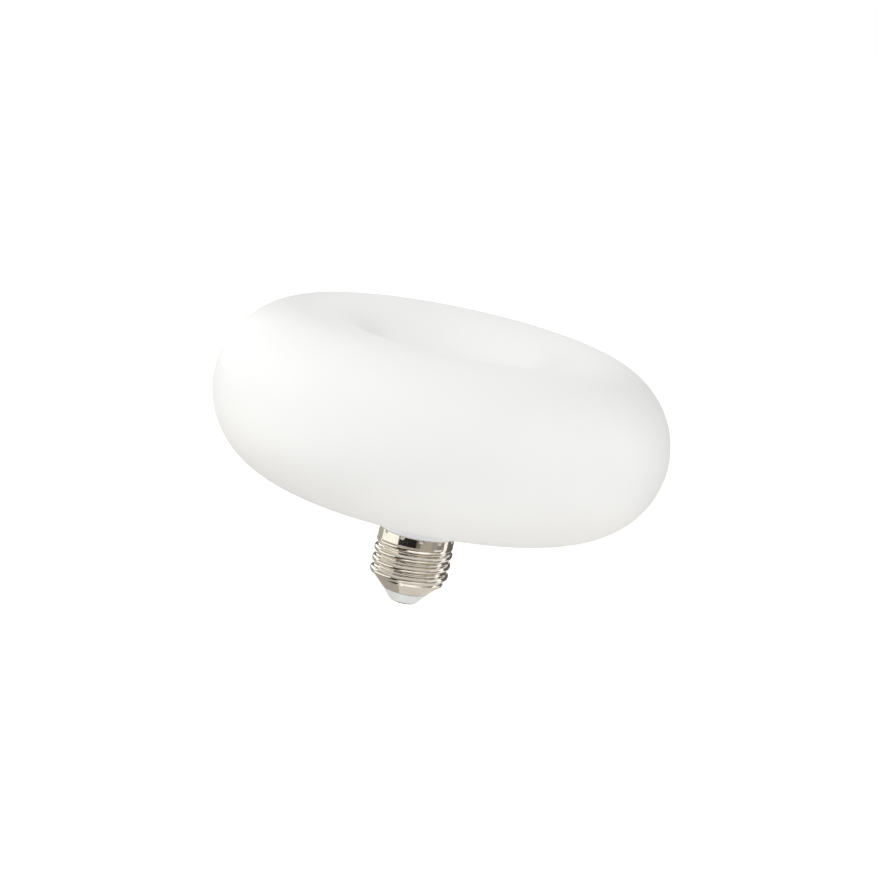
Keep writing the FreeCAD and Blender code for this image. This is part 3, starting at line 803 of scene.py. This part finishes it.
def studio_card(name, width, height, brightness):
    """A card that only polished metal shows, as a dark or grey field in its reflections."""
    card = stage_plane(name, width, height)
    material = bpy.data.materials.new(name)
    material.use_nodes = True
    tree = material.node_tree
    tree.nodes.clear()
    glow = tree.nodes.new("ShaderNodeEmission")
    glow.inputs["Color"].default_value = opaque(brightness)
    made = tree.nodes.new("ShaderNodeOutputMaterial")
    tree.links.new(glow.outputs[0], made.inputs["Surface"])
    card.data.materials.append(material)
    card.visible_camera = False
    card.visible_diffuse = False
    card.visible_shadow = False
    card.visible_transmission = False
    return card


def seen_directly(tree):
    """A value of 1 for rays from the camera, off gloss and through glass, and 0 for the others."""
    path = tree.nodes.new("ShaderNodeLightPath")
    either = math_node(tree, "MAXIMUM", path.outputs["Is Camera Ray"], path.outputs["Is Glossy Ray"])
    return math_node(tree, "MAXIMUM", either, path.outputs["Is Transmission Ray"])


def white_world(ambient):
    """A world that shows as plain white and lights the lamp at the ambient level."""
    world = bpy.data.worlds.new("white_studio")
    bpy.context.scene.world = world
    world.use_nodes = True
    tree = world.node_tree
    back = tree.nodes["Background"]
    back.inputs["Color"].default_value = (1.0, 1.0, 1.0, 1.0)
    level = tree.nodes.new("ShaderNodeMapRange")
    level.inputs["To Min"].default_value = ambient
    level.inputs["To Max"].default_value = 1.0
    tree.links.new(seen_directly(tree), level.inputs["Value"])
    tree.links.new(level.outputs["Result"], back.inputs["Strength"])


def pale_floor(settings):
    """A wide floor under the held lamp. It keeps shadows, and is lifted to white where it is seen."""
    floor = stage_plane("floor", FLOOR_WIDTH, FLOOR_WIDTH)
    floor.location.z = -settings.floor_drop
    material = bpy.data.materials.new("pale_floor")
    material.use_nodes = True
    tree = material.node_tree
    shader = tree.nodes["Principled BSDF"]
    shader.inputs["Base Color"].default_value = opaque(settings.floor_colour)
    shader.inputs["Roughness"].default_value = 0.9
    shader.inputs["Emission Color"].default_value = (1.0, 1.0, 1.0, 1.0)
    strength = math_node(tree, "MULTIPLY", seen_directly(tree), FLOOR_LIFT)
    tree.links.new(strength, shader.inputs["Emission Strength"])
    floor.data.materials.append(material)


def set_camera(settings):
    """The camera that sees the lamp as the picture does."""
    tilt = settings.elevation
    roll = settings.roll
    level_right = Vector((1, 0, 0))
    level_up = Vector((0, math.sin(tilt), math.cos(tilt)))
    ahead = Vector((0, math.cos(tilt), -math.sin(tilt)))
    right = level_right * math.cos(roll) + level_up * math.sin(roll)
    up = level_up * math.cos(roll) - level_right * math.sin(roll)
    sideways = (settings.ring_x - IMAGE_WIDTH / 2) / settings.focal_length
    upwards = (IMAGE_HEIGHT / 2 - settings.ring_y) / settings.focal_length
    to_ring = (ahead + right * sideways + up * upwards) * settings.distance
    lens = bpy.data.cameras.new("camera")
    lens.sensor_width = SENSOR_WIDTH
    lens.lens = settings.focal_length * SENSOR_WIDTH / IMAGE_WIDTH
    camera = bpy.data.objects.new("camera", lens)
    turn = Matrix((right, up, -ahead)).transposed().to_4x4()
    camera.matrix_world = Matrix.Translation(RING_CENTRE - to_ring) @ turn
    bpy.context.scene.collection.objects.link(camera)
    bpy.context.scene.camera = camera


class RINGLAMP_OT_stage(bpy.types.Operator):
    """Set up the floor, the white surroundings, the lamps and the camera"""
    bl_idname = "ringlamp.stage"
    bl_label = "Set the stage"

    def execute(self, context):
        studio = context.scene.ring_lamp_studio
        context.scene.view_settings.view_transform = "Standard"
        white_world(studio.ambient)
        pale_floor(studio)
        for name, azimuth, elevation, side, strength in SOFTBOXES:
            softbox(name, azimuth, elevation, side, strength * studio.lamp_strength)
        base = Vector((0, 0, (SHELL_LOW.z + SHELL_HIGH.z) / 2))
        for name, azimuths, elevations, distance, brightness in UPRIGHT_CARDS:
            upright_card(name, base, azimuths, elevations, distance, brightness)
        for name, across, away, height, brightness in FLAT_CARDS:
            flat_card(name, across, away, height, brightness)
        set_camera(context.scene.ring_lamp_camera)
        return {"FINISHED"}


class RINGLAMP_PT_looks(bpy.types.Panel):
    """Sizes, colours and steps of the ring lamp"""
    bl_idname = "RINGLAMP_PT_looks"
    bl_label = "Ring Lamp"
    bl_space_type = "VIEW_3D"
    bl_region_type = "UI"
    bl_category = "Ring Lamp"

    def draw(self, context):
        for step in STEPS:
            self.layout.operator(step.bl_idname)
        for name in SETTINGS:
            group = getattr(context.scene, name)
            box = self.layout.box()
            for size in group.bl_rna.properties:
                if not size.is_readonly and size.identifier != "name":
                    box.prop(group, size.identifier)


STEPS = (RINGLAMP_OT_diffuser, RINGLAMP_OT_neck, RINGLAMP_OT_screw_shell, RINGLAMP_OT_nose,
         RINGLAMP_OT_contact, RINGLAMP_OT_stage)
SETTINGS = {
    "ring_lamp_opal": OpalFinish,
    "ring_lamp_housing": HousingFinish,
    "ring_lamp_nose": NoseFinish,
    "ring_lamp_plate": PlateFinish,
    "ring_lamp_contact": ContactFinish,
    "ring_lamp_shell": ShellSizes,
    "ring_lamp_camera": CameraSettings,
    "ring_lamp_studio": StudioSettings,
}


def register():
    """Add the settings, the steps and the panel."""
    for kind in (*SETTINGS.values(), *STEPS, RINGLAMP_PT_looks):
        bpy.utils.register_class(kind)
    for name, kind in SETTINGS.items():
        setattr(bpy.types.Scene, name, PointerProperty(type=kind))


def unregister():
    """Take the settings, the steps and the panel away."""
    for name in SETTINGS:
        delattr(bpy.types.Scene, name)
    for kind in reversed((*SETTINGS.values(), *STEPS, RINGLAMP_PT_looks)):
        bpy.utils.unregister_class(kind)


def main():
    """Register the add-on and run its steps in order."""
    register()
    bpy.ops.ringlamp.diffuser()
    bpy.ops.ringlamp.neck()
    bpy.ops.ringlamp.screw_shell()
    bpy.ops.ringlamp.nose()
    bpy.ops.ringlamp.contact()
    bpy.ops.ringlamp.stage()


if __name__ == "__main__":
    main()
